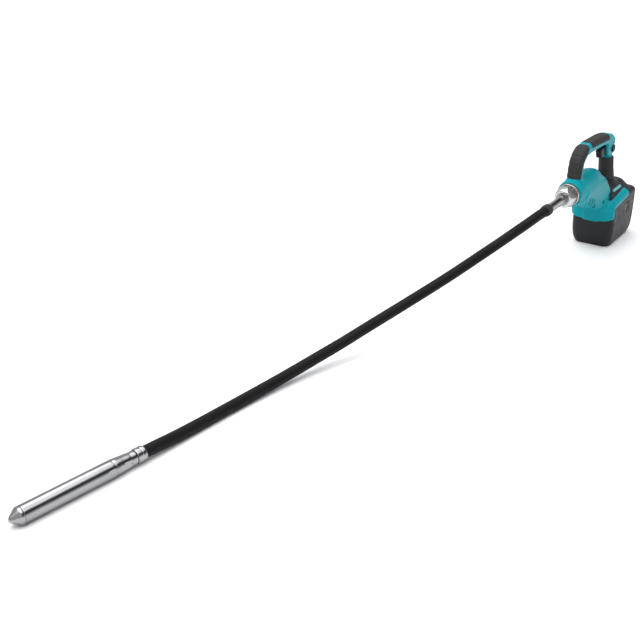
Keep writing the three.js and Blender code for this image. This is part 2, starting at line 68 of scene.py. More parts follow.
camera_data = bpy.data.cameras.new("camera")
camera_data.lens = LENS
camera_data.sensor_width = 36
camera_data.clip_end = 60
camera = bpy.data.objects.new("camera", camera_data)
bpy.context.scene.collection.objects.link(camera)
level = Vector((-math.cos(TURN), -math.sin(TURN), 0))
ahead = level * math.cos(PITCH) - Vector((0, 0, math.sin(PITCH)))
right = Vector((-math.sin(TURN), math.cos(TURN), 0))
facing = Matrix((right, right.cross(ahead), -ahead)).transposed()
camera.matrix_world = Matrix.Translation(CAMERA_AT) @ facing.to_4x4()
bpy.context.scene.camera = camera

# ---- measures taken from the frame -------------------------------------------------------
_, case_high = box_mm("battery_case")
cover_low, cover_high = box_mm("battery_cover")
housing_low, housing_high = box_mm("housing_left")
_, foot_high = box_mm("grip_foot")
can_low, can_high = box_mm("motor_can")
nut_low, nut_high = box_mm("coupling_nut")
flange_low, flange_high = box_mm("nose_flange")
sleeve_low, sleeve_high = box_mm("hose_sleeve")
button_low, button_high = box_mm("lock_button")
latch_low, latch_high = box_mm("cover_latch")
_, trigger_high = box_mm("trigger")
pin_low, pin_high = box_mm("cover_hinge_pin")
BUTTON_RADIUS = (button_high[0] - button_low[0]) / 2

MOTOR_Z = (can_low[2] + can_high[2]) / 2
MOTOR_RADIUS = 30
MOTOR_REAR = 84
MOTOR_FRONT = housing_high[0]
HALF_LENGTH = -cover_low[0]
HALF_WIDTH = case_high[1]
CORNER = 16
SEAM_X = -16
RIM = {"front": 95.0, "rise": 0.098}
COVER_TOP = cover_high[2]
DECK = {
    "thick": 17, "centre": 4, "corner": CORNER + 2,
    "half_x": HALF_LENGTH + 8, "half_y": housing_high[1],
}
APRON_BOTTOM = housing_low[2]
FOOT = {"x": 10, "half_x": 66, "half_y": foot_high[1], "corner": 16, "top": foot_high[2]}
WALL = 2.8
SKIN = 2.6
LOOP = {"half_width": 15, "half_thick": 12, "corner": 9}
GRIP = {"half_width": 15.5, "half_thick": 18}
LOOP_LINE = [
    (213, 186), (211, 210), (205, 233), (190, 246.5), (166, 251),
    (120, 250.5), (74, 248.5), (34, 242), (16, 231),
]
GRIP_LINE = [(27, 237), (27, 208), (21, 180), (15, 154), (13, 116)]
NECK = [
    (46, 104), (84, 96), (128, 106), (196, 136), (214, 157), (200, 172), (92, 172), (58, 140),
]
NECK_HALF = 31
HINGE = (pin_low + pin_high) / 2
KNUCKLE = {"radius": 4.2, "height": (pin_high[2] - pin_low[2] - 2) / 3}
PANEL = {"z": 52, "half_z": 26, "depth": 0.5, "spans": ((28, 25), (-46, 18))}
FRONT_COVER = [(214, 199), (209, 231), (188, 245), (172, 268), (196, 280), (245, 280), (245, 199)]
TOP_COVER = [(58, 247), (58, 280), (160, 280), (164, 254)]
TRIGGER_WEB = [(42, 238), (58, 238), (52, 210), (32, 200), (14, 208), (12, 234)]
TRIGGER_BAY = [(30, 205), (96, 205), (96, 232), (30, 232)]
TRIGGER = [(50, 229), (77, 229), (83, 223), (78, 216), (75, 207), (50, 207)]
SPRING_Z = 212
HOSE_ROUTE = [
    (350, 0, 168), (361, 0, 168), (382, -4.5, 164.6), (414, -13, 156.5), (481, -37, 134.5),
    (548, -61, 113.5), (613, -84, 94), (678, -107, 76.4), (743, -129, 60.4), (807, -149, 46.3),
    (871, -167, 33.7), (935, -184, 23.6), (1000, -198, 16.2), (1066, -210, 11.6),
    (1131, -218.6, 10.4), (1194, -225.5, 10.4), (1252, -231.4, 11.9), (1300, -236.5, 14.4),
    (1330, -241.1, 14.7),
]
HOSE_RADIUS = 10.25


# ---- curves ------------------------------------------------------------------------------
def spline(points, steps=8):
    """Centripetal Catmull-Rom curve through the points, with steps per span."""
    p = np.array(points, float)
    p = np.vstack([2 * p[0] - p[1], p, 2 * p[-1] - p[-2]])
    line = []
    for i in range(1, len(p) - 2):
        a, b, c, d = p[i - 1:i + 3]
        t0 = 0.0
        t1 = t0 + np.linalg.norm(b - a) ** 0.5
        t2 = t1 + np.linalg.norm(c - b) ** 0.5
        t3 = t2 + np.linalg.norm(d - c) ** 0.5
        for t in np.linspace(t1, t2, steps, endpoint=False):
            ab = (t1 - t) / (t1 - t0) * a + (t - t0) / (t1 - t0) * b
            bc = (t2 - t) / (t2 - t1) * b + (t - t1) / (t2 - t1) * c
            cd = (t3 - t) / (t3 - t2) * c + (t - t2) / (t3 - t2) * d
            abc = (t2 - t) / (t2 - t0) * ab + (t - t0) / (t2 - t0) * bc
            bcd = (t3 - t) / (t3 - t1) * bc + (t - t1) / (t3 - t1) * cd
            line.append((t2 - t) / (t2 - t1) * abc + (t - t1) / (t2 - t1) * bcd)
    line.append(p[-2])
    return np.array(line)


def even(line, spacing):
    """The same curve with points a set distance apart."""
    run = np.concatenate([[0], np.cumsum(np.linalg.norm(np.diff(line, axis=0), axis=1))])
    at = np.linspace(0, run[-1], int(run[-1] / spacing) + 1)
    return np.stack([np.interp(at, run, line[:, k]) for k in range(line.shape[1])], 1)


# ---- distance fields: negative inside ----------------------------------------------------
def blend_max(a, b, r):
    h = np.maximum(r - np.abs(a - b), 0) / r
    return np.maximum(a, b) + h * h * r / 4


def blend_min(a, b, r):
    return -blend_max(-a, -b, r)


def cut(body, tool, r=0.6):
    return blend_max(body, -tool, r)


def ramp(distance, width):
    """0 well inside, 1 well outside."""
    t = np.clip(0.5 + distance / width, 0, 1)
    return t * t * (3 - 2 * t)


def rounded(a, b, edge):
    """Two distances that meet in a rounded edge."""
    a, b = a + edge, b + edge
    return np.hypot(np.maximum(a, 0), np.maximum(b, 0)) + np.minimum(np.maximum(a, b), 0) - edge


def rect(u, v, half_u, half_v, corner):
    return rounded(np.abs(u) - half_u, np.abs(v) - half_v, corner)


def outline(points, u, v):
    """Distance to a closed outline."""
    nearest, inside = np.inf, False
    for (au, av), (bu, bv) in zip(points, points[1:] + points[:1]):
        eu, ev = bu - au, bv - av
        t = np.clip(((u - au) * eu + (v - av) * ev) / (eu * eu + ev * ev), 0, 1)
        nearest = np.minimum(nearest, np.hypot(u - au - t * eu, v - av - t * ev))
        if av != bv:
            inside = inside ^ (((av > v) != (bv > v)) & (u < eu * (v - av) / ev + au))
    return np.where(inside, -nearest, nearest)


def along(line, x, z):
    """Sideways offset from a line in the XZ plane, and the distance run along it."""
    nearest, side, run, start = np.inf, 0.0, 0.0, 0.0
    for i, (a, b) in enumerate(zip(line[:-1], line[1:])):
        length = np.hypot(*(b - a))
        ex, ez = (b - a) / length
        raw = (x - a[0]) * ex + (z - a[1]) * ez
        t = np.clip(raw, 0, length)
        away = np.hypot(x - a[0] - t * ex, z - a[1] - t * ez)
        if i == 0:
            t = np.minimum(raw, length)
        if i == len(line) - 2:
            t = np.maximum(raw, 0)
        closer = away < nearest
        nearest = np.where(closer, away, nearest)
        side = np.where(closer, (x - a[0]) * ez - (z - a[1]) * ex, side)
        run = np.where(closer, start + t, run)
        start += length
    return side, run, start


loop_line = spline(LOOP_LINE, 5)
grip_line = spline(GRIP_LINE, 5)


def rim(x):
    """Height of the battery case's rim, which rises towards the back."""
    return RIM["front"] + (HALF_LENGTH - x) * RIM["rise"]


def motor(x, y, z):
    dome_from = MOTOR_REAR + 66
    across = np.hypot(y, z - MOTOR_Z)
    back = np.clip((dome_from - x) / (dome_from - MOTOR_REAR), 0, None)
    dome = ((back ** 2.4 + (across / MOTOR_RADIUS) ** 2.4) ** (1 / 2.4) - 1) * MOTOR_RADIUS
    taper = np.clip((x - 210) / (MOTOR_FRONT - 210), 0, 1) * 2.7
    return blend_max(dome + taper, x - MOTOR_FRONT, 3)


def neck(x, y, z):
    flat = outline(NECK, x, z)
    return rounded(flat, np.abs(y) - NECK_HALF, 9)


def deck(x, y, z):
    sides = rect(x - DECK["centre"], y, DECK["half_x"], DECK["half_y"], DECK["corner"])
    body = rounded(sides, z - rim(x) - DECK["thick"] + 1, 13)
    return np.maximum(np.maximum(body, rim(x) + GAP - z), SEAM_X + 1 - x)


def apron(x, y, z):
    draft = 3 * np.clip((90 - z) / 26, 0, 1) ** 2
    half_x, half_y = DECK["half_x"] - draft, DECK["half_y"] - draft * 0.4
    outer = rect(x - DECK["centre"], y, half_x, half_y, DECK["corner"])
    inner = rect(x, y, HALF_LENGTH + GAP, HALF_WIDTH + GAP, CORNER)
    low = APRON_BOTTOM + 6 * (y / 46) ** 2
    body = blend_max(outer, low - z, 3)
    body = np.maximum(np.maximum(body, z - rim(x) - 4), 68 + 0.1 * (z - 70) - x)
    return np.maximum(body, -np.maximum(inner, z - rim(x) - GAP))


def loop(x, y, z, skin=0.0):
    side, run, length = along(loop_line, x, z)
    body = rect(side, y, LOOP["half_thick"] - skin, LOOP["half_width"] - skin, LOOP["corner"] - skin / 2)
    return blend_max(body, np.abs(run - length / 2) - length / 2, 8)


def grip(x, y, z, skin=0.0):
    side, run, length = along(grip_line, x, z)
    flare = 3.2 * np.exp(-((length - 30 - run) / 17) ** 2)
    a, b = GRIP["half_thick"] - skin + flare, GRIP["half_width"] - skin + flare * 0.5
    body = (np.hypot(side / a, y / b) - 1) * b
    return np.maximum(body, np.abs(run - length / 2) - length / 2)


def slots(x, y, z):
    """Air slots in both sides of the neck."""
    found = np.inf
    for k in range(3):
        cx, cz = 161 + 13 * k, 132 + 6 * k
        u, v = (x - cx) * 0.9 + (z - cz) * 0.43, (z - cz) * 0.9 - (x - cx) * 0.43
        found = np.minimum(found, rect(u, v, 2.8, 8.5, 2.6))
    return np.maximum(found, 22 - np.abs(y))


SCREW_SPOTS = [
    [(low + high) / 2 for low, high in zip(*box_mm(f"housing_screw_{k}"))] for k in (1, 2, 3)
]


def screw_wells(x, y, z):
    found = np.inf
    for cx, _, cz in SCREW_SPOTS:
        found = np.minimum(found, np.hypot(x - cx, z - cz) - 4.4)
    return np.maximum(found, 16 - y)


def housing(x, y, z):
    column = rounded(rect(y, z - 90, 17, 30, 12), np.abs(x - 76) - 15.5, 5)
    column = np.maximum(column, -rect(x, y, HALF_LENGTH + GAP, HALF_WIDTH, CORNER))
    web = rounded(outline(TRIGGER_WEB, x, z), np.abs(y) - 13, 5)
    body = blend_min(motor(x, y, z), neck(x, y, z), 8)
    body = blend_min(body, blend_min(deck(x, y, z), apron(x, y, z), 1), 9)
    body = blend_min(body, np.maximum(column, APRON_BOTTOM + 1 - z), 6)
    body = blend_min(body, loop(x, y, z), 7)
    body = blend_min(body, web, 5)
    body = blend_min(body, grip(x, y, z, SKIN), 3)
    below = np.maximum(rect(x, y, HALF_LENGTH + GAP, HALF_WIDTH + GAP, CORNER), z - rim(x) - GAP)
    body = np.maximum(body, -below)
    hollow = np.maximum(body + WALL, 20 - x)
    body = cut(body, hollow)
    body = cut(body, np.maximum(np.hypot(y, z - MOTOR_Z) - flange_high[1] - GAP, flange_low[0] - 1 - x))
    bay = np.maximum(np.abs(y) - trigger_high[1] - 0.5, outline(TRIGGER_BAY, x, z))
    body = cut(body, bay)
    button = np.hypot(x - (button_low[0] + button_high[0]) / 2, z - (button_low[2] + button_high[2]) / 2)
    body = cut(body, np.maximum(button - BUTTON_RADIUS - 0.4, 3 - y), 1.2)
    body = cut(body, slots(x, y, z), 1.2)
    body = cut(body, screw_wells(x, y, z), 1)
    core = loop(x, y, z, SKIN + GAP)
    for region in (front_region(x, z), top_region(x, z)):
        body = cut(body, np.maximum(region, -core), 0.4)
    return body


def front_region(x, z, gap=0.0):
    return outline(FRONT_COVER, x, z) + gap


def top_region(x, z, gap=0.0):
    return outline(TOP_COVER, x, z) + gap


def notches(turns, sharpness):
    """One narrow notch in the middle of each turn, as a depth from 0 to 1."""
    return np.clip(1 - np.abs(turns % 1 - 0.5) * sharpness, 0, 1)


def soft_cover(x, y, z, region, swell, groove, edge):
    """Soft skin over a stretch of the loop, with grooves cut into it."""
    body = blend_max(loop(x, y, z) + groove - swell, region, edge)
    return cut(body, loop(x, y, z, SKIN), 0.4)


def front_cover(x, y, z):
    side, run, _ = along(loop_line, x, z)
    groove = 1.1 * notches(run / 15.5, 7) * ramp(side - 3, 6)
    return soft_cover(x, y, z, front_region(x, z, GAP), 0.9, groove, 1.8)


def top_cover(x, y, z):
    _, run, _ = along(loop_line, x, z)
    groove = 0.45 * notches(run / 9, 5)
    return soft_cover(x, y, z, top_region(x, z, GAP), 0.7, groove, 1.6)


def rear_cover(x, y, z):
    side, _, _ = along(grip_line, x, z)
    around = np.arctan2(y, side)
    ribbed = ramp(np.abs(around) - 1.35, 0.5)
    wave = 0.8 * np.abs(np.sin(around * 13)) ** 0.7 * ribbed
    outer = grip(x, y, z) - 1.0 + wave
    ends = np.maximum(FOOT["top"] + 1 - z, z - 199)
    return cut(blend_max(outer, ends, 2), grip(x, y, z, SKIN), 0.4)


def foot(x, y, z):
    lean = np.clip((z - 116) * 0.72, 0, None)
    base = rect(x - FOOT["x"], y, FOOT["half_x"] - lean, FOOT["half_y"] - lean, FOOT["corner"])
    base = rounded(base, z - FOOT["top"] + 8, 7)
    column = np.maximum(grip(x, y, z, -1.4), z - FOOT["top"])
    body = blend_min(base, column, 19)
    body = blend_max(body, z - FOOT["top"], 2)
    behind = np.maximum(z - COVER_TOP - GAP, x - SEAM_X - 1 + GAP)
    body = np.maximum(body, -behind)
    body = np.maximum(body, -(deck(x, y, z) - GAP))
    body = np.maximum(body, np.where(x > SEAM_X, rim(x) + DECK["thick"] - 4 - z, -99))
    body = cut(body, motor(x, y, z) - GAP, 0.5)
    body = cut(body, neck(x, y, z) - 2, 0.5)
    return cut(body, grip(x, y, z, SKIN - GAP), 0.5)


def case_block(x, y, z, top, edge):
    inset = 9 * np.exp(-np.maximum(z, 0) / 15)
    sides = rect(x, y, HALF_LENGTH - inset, HALF_WIDTH - inset, CORNER)
    return blend_max(rounded(sides, z - top, edge), -z, 2)


def side_panels(x, y, z):
    """Shallow sunk panels on the long sides, as a depth."""
    on_side = ramp(np.abs(y) - 40, 6)
    found = 0.0
    for cx, half in PANEL["spans"]:
        panel = rect(x - cx, z - PANEL["z"], half, PANEL["half_z"], 6)
        found = np.maximum(found, 1 - ramp(panel, 1.6))
    return PANEL["depth"] * found * on_side


def knuckles(x, y, z, which):
    """Hinge knuckles, counted from the bottom, with the webs that carry them."""
    found = np.inf
    for k in which:
        z0 = pin_low[2] + 1 + k * KNUCKLE["height"]
        half = (KNUCKLE["height"] - GAP) / 2
        to_web = -5 if k == 1 else 5
        web = np.maximum(np.abs(y + HALF_WIDTH + 2.4) - 3.4, np.abs(x - HINGE[0] - to_web) - 4)
        body = np.minimum(np.hypot(x - HINGE[0], y - HINGE[1]) - KNUCKLE["radius"], web)
        found = np.minimum(found, rounded(body, np.abs(z - z0 - half) - half, 0.8))
    return found


def knuckle_room(x, y, z):
    around = np.hypot(x - HINGE[0], y - HINGE[1]) - KNUCKLE["radius"] - GAP
    return np.maximum(around, np.abs(z - HINGE[2]) - 21.5)


def pin_hole(x, y):
    return np.hypot(x - HINGE[0], y - HINGE[1]) - pin_high[0] + HINGE[0] - GAP


def latch_pocket(x, y, z):
    cx, cz = (latch_low[0] + latch_high[0]) / 2, (latch_low[2] + latch_high[2]) / 2
    flat = rect(x - cx, z - cz, (latch_high[0] - latch_low[0]) / 2 + 0.5, 9.5, 1)
    return np.maximum(flat, latch_low[1] - 0.4 - y)


def battery_case(x, y, z):
    outer = blend_max(case_block(x, y, z, 130, 2), z - rim(x), 1.5) + side_panels(x, y, z)
    body = cut(outer, np.maximum(case_block(x, y, z, 130, 2) + WALL, z - RIM["front"] + WALL + 3), 0.5)
    pad = np.maximum(rect(x + 6, z - 78, 11, 12, 2), np.abs(y - HALF_WIDTH + 3) - 3)
    body = np.minimum(body, pad)
    body = np.maximum(body, SEAM_X - x)
    body = cut(body, knuckle_room(x, y, z), 0.4)
    body = np.minimum(body, knuckles(x, y, z, (0, 2)))
    return np.maximum(np.maximum(body, -latch_pocket(x, y, z)), -pin_hole(x, y))


def battery_cover(x, y, z):
    grooves = 0.0
    for k in range(5):
        across = 1 - ramp(np.abs(z - 34 - 9 * k) - 1.3, 1.0)
        grooves = np.maximum(grooves, across * ramp(30 - np.abs(y), 2))
    outer = case_block(x, y, z, COVER_TOP, 10) + side_panels(x, y, z) + 0.6 * grooves * ramp(-60 - x, 4)
    body = cut(outer, case_block(x, y, z, COVER_TOP, 10) + WALL, 0.5)
    pad = np.maximum(rect(x + 22, z - 78, 8, 12, 2), np.abs(y - HALF_WIDTH + 3) - 3)
    body = np.minimum(body, pad)
    body = np.maximum(body, x - SEAM_X + GAP)
    body = cut(body, knuckle_room(x, y, z), 0.4)
    body = np.minimum(body, knuckles(x, y, z, (1,)))
    return np.maximum(np.maximum(body, -latch_pocket(x, y, z)), -pin_hole(x, y))


def latch(x, y, z):
    cx, cz = (latch_low[0] + latch_high[0]) / 2, (latch_low[2] + latch_high[2]) / 2
    cy = (latch_low[1] + latch_high[1]) / 2
    flat = rect(x - cx, z - cz, (latch_high[0] - latch_low[0]) / 2, 9, 2.5)
    ridge = 0.5 * np.clip(np.cos((x - cx) * 2 * math.pi / 3.2), 0, 1) * ramp(cx + 2 - x, 2)
    body = rounded(flat, np.abs(y - cy) - 1.5, 0.9)
    return body + ridge * (y > cy)


def trigger(x, y, z):
    body = rounded(outline(TRIGGER, x, z), np.abs(y) - trigger_high[1], 2.4)
    tongue = np.maximum(rect(x - 47, z - 221, 5, 4, 1), np.abs(y) - 3)
    body = np.minimum(body, tongue)
    pocket = np.maximum(np.hypot(y, z - SPRING_Z) - 3.3, np.abs(x - 52) - 12)
    grooves = 0.5 * notches((z - 208) / 4.5, 4) * ramp(x - 70, 3)
    return cut(body, pocket, 0.3) + grooves


# ---- meshes ------------------------------------------------------------------------------
def surface(field, low, high, step):
    """Skin of a field inside a box: naive surface nets, then a step onto the field."""
    count = [int(math.ceil((b - a) / step)) + 1 for a, b in zip(low, high)]
    axes = [a + step * np.arange(n) for a, n in zip(low, count)]
    value = np.broadcast_to(field(*np.meshgrid(*axes, indexing="ij", sparse=True)), count)
    cells, places, quads = [], [], []
    for axis in range(3):
        shift = [slice(None)] * 3
        lower, upper = list(shift), list(shift)
        lower[axis], upper[axis] = slice(None, -1), slice(1, None)
        a, b = value[tuple(lower)], value[tuple(upper)]
        at = np.argwhere((a < 0) != (b < 0))
        va, vb = a[tuple(at.T)], b[tuple(at.T)]
        place = at.astype(float)
        place[:, axis] += va / (va - vb)
        u, v = [k for k in range(3) if k != axis]
        ring = []
        for du, dv in ((0, 0), (1, 0), (1, 1), (0, 1)):
            cell = at.copy()
            cell[:, u] -= du
            cell[:, v] -= dv
            ring.append(np.ravel_multi_index(np.maximum(cell, 0).T, count))
        flip = (va < 0) == (axis != 1)
        ring = np.stack(ring, 1)
        quads.append(np.where(flip[:, None], ring[:, ::-1], ring))
        cells.append(ring.ravel())
        places.append(np.repeat(place, 4, axis=0))
    quads, cells, places = np.concatenate(quads), np.concatenate(cells), np.concatenate(places)
    kept, index = np.unique(cells, return_inverse=True)
    total = np.bincount(index)
    points = np.stack([np.bincount(index, places[:, k]) / total for k in range(3)], 1)
    points = np.array(low) + step * points
    for _ in range(2):
        points -= pull(field, points, step)
    return points, np.searchsorted(kept, quads)


def pull(field, points, step):
    """The move that takes points to the surface, no longer than half a step."""
    x, y, z = points.T
    d = 0.05 * step
    here = field(x, y, z)
    slope = np.stack([
        (field(x + d, y, z) - field(x - d, y, z)) / (2 * d),
        (field(x, y + d, z) - field(x, y - d, z)) / (2 * d),
        (field(x, y, z + d) - field(x, y, z - d)) / (2 * d),
    ], 1)
    size = np.maximum((slope ** 2).sum(1), 0.05)
    move = slope * (here / size)[:, None]
    far = np.linalg.norm(move, axis=1, keepdims=True)
    return move * np.minimum(1, 0.5 * step / np.maximum(far, 1e-9))


def piece(name, points, faces, sharp=40.0):
    """Mesh object from millimetre points, smooth except over sharp edges."""
    mesh = bpy.data.meshes.new(name)
    mesh.from_pydata((np.asarray(points) * MM).tolist(), [], np.asarray(faces).tolist())
    tidy = bmesh.new()
    tidy.from_mesh(mesh)
    bmesh.ops.remove_doubles(tidy, verts=tidy.verts, dist=1e-6)
    bmesh.ops.dissolve_degenerate(tidy, edges=tidy.edges, dist=1e-7)
    bmesh.ops.recalc_face_normals(tidy, faces=tidy.faces)
    tidy.to_mesh(mesh)
    tidy.free()
    mesh.shade_smooth()
    mesh.set_sharp_from_angle(angle=math.radians(sharp))
    made = bpy.data.objects.new(name, mesh)
    bpy.context.scene.collection.objects.link(made)
    return made


def moulded(name, field, nodes, step, sharp=50.0, low=None, high=None):
    """Skin of a field, sampled over the box of the CAD nodes that it stands for."""
    boxes = [box_mm(n) for n in nodes]
    margin = 2.5 * step
    low = np.min([b[0] for b in boxes], axis=0) - margin if low is None else low
    high = np.max([b[1] for b in boxes], axis=0) + margin if high is None else high
    points, faces = surface(field, low, high, step)
    return piece(name, points, faces, sharp)


def halves(names, field, nodes, step):
    """Left and right halves of a shell, parted along the middle plane."""
    boxes = [box_mm(n) for n in nodes]
    made = []
    for name, side in zip(names, (1, -1)):
        face = side * 0.12
        low = np.min([b[0] for b in boxes], axis=0) - 2.5 * step
        high = np.max([b[1] for b in boxes], axis=0) + 2.5 * step
        rows = math.ceil((face - low[1]) / step) if side < 0 else 1
        low[1] = face - (rows + 0.5) * step
        high[1] = high[1] if side > 0 else face + 1.5 * step

        def half(x, y, z):
            return np.maximum(field(x, y, z), side * (face - y))

        points, faces = surface(half, low, high, step)
        points[np.abs(points[:, 1] - face) < 0.35 * step, 1] = face
        brink = (points[:, 1] == face) & (np.abs(field(*points.T)) < 0.45 * step)
        for _ in range(2):
            points[brink] -= pull(field, points[brink], step) * (1, 0, 1)
        made.append(piece(name, points, faces, 50))
    return made


def eased(profile, radius):
    """Profile with each corner rounded off by up to radius."""
    closed = profile[0] == profile[-1]
    p = [np.array(q, float) for q in (profile[:-1] if closed else profile)]
    out = []
    for i, here in enumerate(p):
        if not closed and i in (0, len(p) - 1):
            out.append(here)
            continue
        before, after = p[i - 1], p[(i + 1) % len(p)]
        to_before, to_after = before - here, after - here
        reach = min(radius, 0.45 * np.linalg.norm(to_before), 0.45 * np.linalg.norm(to_after))
        a = here + to_before / np.linalg.norm(to_before) * reach
        b = here + to_after / np.linalg.norm(to_after) * reach
        for t in (0, 0.33, 0.67, 1):
            out.append((1 - t) ** 2 * a + 2 * t * (1 - t) * here + t * t * b)
    return out + [out[0]] if closed else out


def turned(name, profile, place, sides=96, flats=(), ease=0.5, sharp=32.0):
    """Lathed piece: profile of (x, radius) about place's X axis, with flats across it.
    A flat is (from x, to x, reach, angle), where reach is its distance from the axis."""
    rings = eased(profile, ease)
    closed = np.allclose(rings[0], rings[-1])
    if closed:
        rings = rings[:-1]
    fine = []
    for i, ring in enumerate(rings):
        fine.append(ring)
        nxt = rings[(i + 1) % len(rings)]
        if i + 1 < len(rings) or closed:
            gap = abs(nxt[0] - ring[0])
            extra = int(gap / 4) if gap > 6 else 0
            fine += [ring + (nxt - ring) * (k + 1) / (extra + 1) for k in range(extra)]
    turn = np.arange(sides) * 2 * math.pi / sides
    points = []
    for x, r in fine:
        radius = np.full(sides, r)
        for x0, x1, reach, angle in flats:
            if x0 <= x <= x1:
                facing_flat = np.cos(turn - angle)
                limit = np.where(facing_flat > 0.05, reach / np.maximum(facing_flat, 0.05), 1e9)
                radius = np.minimum(radius, limit)
        points.append(np.stack([np.full(sides, x), radius * np.cos(turn), radius * np.sin(turn)], 1))
    count = len(points)
    faces = []
    for r in range(count if closed else count - 1):
        for s in range(sides):
            a, b = r * sides + s, r * sides + (s + 1) % sides
            c, d = (r + 1) % count * sides + (s + 1) % sides, (r + 1) % count * sides + s
            faces.append((a, b, c, d))
    flat_points = np.concatenate(points)
    world = flat_points @ np.array(place.to_3x3()).T + np.array(place.translation)
    return piece(name, world, faces, sharp)


def tube(name, line, radius, sides, spacing):
    """Tube along a line, with a UV map: once round, and metres along."""
    line = even(line, spacing)
    ahead_of = np.gradient(line, axis=0)
    ahead_of /= np.linalg.norm(ahead_of, axis=1, keepdims=True)
    across = np.cross(ahead_of, (0, 0, 1.0))
    across /= np.linalg.norm(across, axis=1, keepdims=True)
    over = np.cross(across, ahead_of)
    turn = np.arange(sides) * 2 * math.pi / sides
    rings = (
        line[:, None] + radius * np.cos(turn)[None, :, None] * across[:, None]
        + radius * np.sin(turn)[None, :, None] * over[:, None]
    )
    count = len(line)
    faces, uvs = [], []
    run = np.concatenate([[0], np.cumsum(np.linalg.norm(np.diff(line, axis=0), axis=1))]) * MM
    for r in range(count - 1):
        for s in range(sides):
            a, b = r * sides + s, r * sides + (s + 1) % sides
            faces.append((a, b, b + sides, a + sides))
            u0, u1 = s / sides, (s + 1) / sides
            uvs += [(u0, run[r]), (u1, run[r]), (u1, run[r + 1]), (u0, run[r + 1])]
    mesh = bpy.data.meshes.new(name)
    mesh.from_pydata((rings.reshape(-1, 3) * MM).tolist(), [], faces)
    layer = mesh.uv_layers.new(name="length")
    layer.data.foreach_set("uv", np.array(uvs, np.float32).ravel())
    ends = bmesh.new()
    ends.from_mesh(mesh)
    bmesh.ops.holes_fill(ends, edges=[e for e in ends.edges if e.is_boundary], sides=0)
    bmesh.ops.recalc_face_normals(ends, faces=ends.faces)
    ends.to_mesh(mesh)
    ends.free()
    mesh.shade_smooth()
    mesh.set_sharp_from_angle(angle=math.radians(50))
    made = bpy.data.objects.new(name, mesh)
    bpy.context.scene.collection.objects.link(made)
    return made, line


# ---- materials ---------------------------------------------------------------------------
class Nodes:
    """Short names for building a material's node tree."""

    def __init__(self, name):
        self.material = bpy.data.materials.new(name)
        self.material.use_nodes = True
        self.tree = self.material.node_tree
        self.shader = self.tree.nodes["Principled BSDF"]
        self.place = self.add("ShaderNodeTexCoord").outputs["Object"]

    def add(self, kind, **values):
        node = self.tree.nodes.new(kind)
        for key, value in values.items():
            setattr(node, key, value)
        return node

    def link(self, a, b):
        self.tree.links.new(a, b)

    def scaled(self, scale, turn=0.0, source=None):
        node = self.add("ShaderNodeMapping")
        self.link(source or self.place, node.inputs["Vector"])
        node.inputs["Rotation"].default_value = (0, 0, turn)
        node.inputs["Scale"].default_value = scale
        return node.outputs["Vector"]

    def noise(self, vector, scale, detail=4.0, rough=0.55):
        node = self.add("ShaderNodeTexNoise")
        node.inputs["Scale"].default_value = scale
        node.inputs["Detail"].default_value = detail
        node.inputs["Roughness"].default_value = rough
        self.link(vector, node.inputs["Vector"])
        return node.outputs["Fac"]

    def spread(self, value, low, high, from_low=0.3, from_high=0.7):
        node = self.add("ShaderNodeMapRange")
        self.link(value, node.inputs["Value"])
        limits = {"From Min": from_low, "From Max": from_high, "To Min": low, "To Max": high}
        for key, number in limits.items():
            node.inputs[key].default_value = number
        return node.outputs["Result"]

    def tint(self, value, first, second):
        node = self.add("ShaderNodeMix", data_type="RGBA")
        self.link(value, node.inputs["Factor"])
        node.inputs["A"].default_value = (*first, 1)
        node.inputs["B"].default_value = (*second, 1)
        return node.outputs["Result"]

    def maths(self, operation, a, b=None):
        node = self.add("ShaderNodeMath", operation=operation)
        for k, value in enumerate((a, b)):
            if isinstance(value, (int, float)):
                node.inputs[k].default_value = value
            elif value is not None:
                self.link(value, node.inputs[k])
        return node.outputs["Value"]

    def bump(self, height, distance, strength=1.0):
        node = self.add("ShaderNodeBump")
        node.inputs["Distance"].default_value = distance * MM
        node.inputs["Strength"].default_value = strength
        self.link(height, node.inputs["Height"])
        self.link(node.outputs["Normal"], self.shader.inputs["Normal"])


def plastic(name, dark, light, rough, grain, depth, gloss=0.25):
    """Moulded plastic: spark-eroded grain, faint cloudiness and uneven gloss."""
    n = Nodes(name)
    n.link(n.tint(n.spread(n.noise(n.place, 9, 5), 0, 1), dark, light), n.shader.inputs["Base Color"])
    n.link(n.spread(n.noise(n.place, 55, 6), rough - 0.06, rough + 0.07), n.shader.inputs["Roughness"])
    n.bump(n.noise(n.place, 1000 / grain, 3, 0.6), depth)
    n.shader.inputs["Specular IOR Level"].default_value = gloss
    return n.material


def rubber(name, dark, light, rough, pore):
    """Soft rubber with a pebbled skin and a dusty bloom."""
    n = Nodes(name)
    cells = n.add("ShaderNodeTexVoronoi")
    cells.inputs["Scale"].default_value = 1000 / pore
    n.link(n.place, cells.inputs["Vector"])
    n.link(n.tint(n.spread(n.noise(n.place, 14, 6), 0, 1), dark, light), n.shader.inputs["Base Color"])
    n.link(n.spread(n.noise(n.place, 40, 5), rough - 0.05, rough + 0.08), n.shader.inputs["Roughness"])
    n.bump(cells.outputs["Distance"], 0.12)
    n.shader.inputs["Specular IOR Level"].default_value = 0.2
    return n.material


